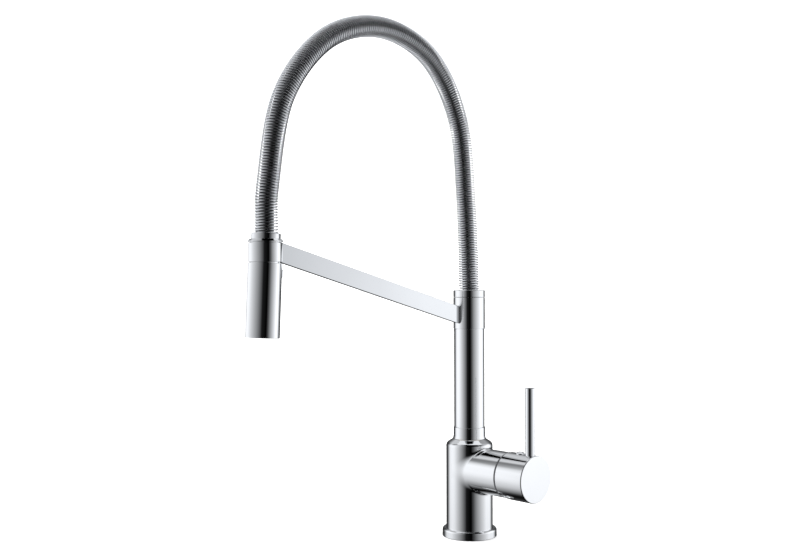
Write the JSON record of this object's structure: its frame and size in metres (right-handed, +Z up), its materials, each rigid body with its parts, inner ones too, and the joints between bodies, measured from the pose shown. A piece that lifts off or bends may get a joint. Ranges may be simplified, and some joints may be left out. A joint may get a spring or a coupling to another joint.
{
  "type": "pull down kitchen faucet",
  "caption": "Tall single lever kitchen faucet with a swivelling column, a sprung hose arch, a support arm and a slim pull down spray head.",
  "frame": {"origin": "centre of the base's underside, on the deck", "axes": "+Z up along the column; -Y toward the spray head; +X along the lever's cartridge axis"},
  "size_m": [0.1118, 0.2906, 0.4927],
  "materials": {
    "chrome": "polished chrome plate",
    "brass": "machined, uncoated",
    "steel": "plain stainless steel",
    "spring_steel": "bright wound spring wire",
    "rubber": "matt black rubber",
    "ceramic": "lapped white ceramic",
    "white_plastic": "moulded natural acetal",
    "black_plastic": "moulded black plastic",
    "silicone": "soft grey silicone"
  },
  "bodies": {
    "base": {"base_flange": "chrome", "base_gasket": "rubber", "inlet_plate": "brass", "hot_inlet_tube": "steel", "cold_inlet_tube": "steel", "valve_body": "chrome", "swivel_bush": "white_plastic", "spout_grub_screw": "steel", "cartridge_seal": "rubber", "cartridge_housing": "white_plastic", "fixed_ceramic_disc": "ceramic", "retaining_nut": "brass"},
    "spout": {"riser_spigot": "brass", "lower_o_ring": "rubber", "upper_o_ring": "rubber", "neck_ring": "chrome", "riser_tube": "chrome", "water_tube": "steel", "hose_socket": "brass", "arm_sleeve": "chrome", "column_cap": "chrome", "arm_bar": "chrome", "holder_ring": "chrome", "holder_rim": "chrome", "spring_cover": "spring_steel", "inner_hose": "black_plastic"},
    "hose_end": {"hose_collar": "chrome", "hose_nipple": "brass", "nipple_o_ring": "rubber"},
    "spray_head": {"spray_shell": "chrome", "dock_ring": "rubber", "swivel_nut": "brass", "waterway": "white_plastic", "check_valve": "black_plastic", "nozzle_mat": "silicone", "spray_face": "black_plastic", "aerator": "white_plastic"},
    "button": {"mode_button": "chrome", "diverter_spool": "brass", "button_spring": "steel"},
    "carrier": {"cartridge_carrier": "white_plastic", "stem_pivot_pin": "steel"},
    "sliding_disc": {"moving_ceramic_disc": "ceramic"},
    "lever": {"cartridge_stem": "brass", "lever_cap": "chrome", "lever_pin": "chrome", "cap_set_screw": "steel", "screw_cover": "chrome"}
  },
  "joints": [
    {"name": "spout_swivel", "type": "hinge", "parent": "base", "child": "spout", "pos_m": [0, 0, 0.0954], "axis": [0, 0, 1], "range_deg": [-150, 150]},
    {"name": "lever_turn", "type": "hinge", "parent": "base", "child": "carrier", "pos_m": [0.035, 0, 0.0657], "axis": [1, 0, 0], "range_deg": [-45, 45]},
    {"name": "lever_tilt", "type": "hinge", "parent": "carrier", "child": "lever", "pos_m": [0.035, 0, 0.0657], "axis": [0, 1, 0], "range_deg": [0, 20]},
    {"name": "disc_slide", "type": "slide", "parent": "carrier", "child": "sliding_disc", "axis": [0, 0, 1], "range_m": [0, 0.0026]},
    {"name": "spray_pull", "type": "slide", "parent": "spout", "child": "hose_end", "axis": [0, -0.0436, -0.999], "range_m": [0, 0.12], "stiffness_N_per_m": 70, "springref_m": -0.1, "deforming": ["spring_cover", "inner_hose"]},
    {"name": "spray_turn", "type": "hinge", "parent": "hose_end", "child": "spray_head", "pos_m": [0, -0.2464, 0.275], "axis": [0, 0.0436, 0.999], "continuous": true},
    {"name": "button_press", "type": "slide", "parent": "spray_head", "child": "button", "axis": [0, -0.999, 0.0436], "range_m": [0, 0.0015], "stiffness_N_per_m": 400, "springref_m": -0.004}
  ],
  "couplings": [
    {"joint": "disc_slide", "follows": "lever_tilt", "m_per_rad": 0.0073}
  ]
}
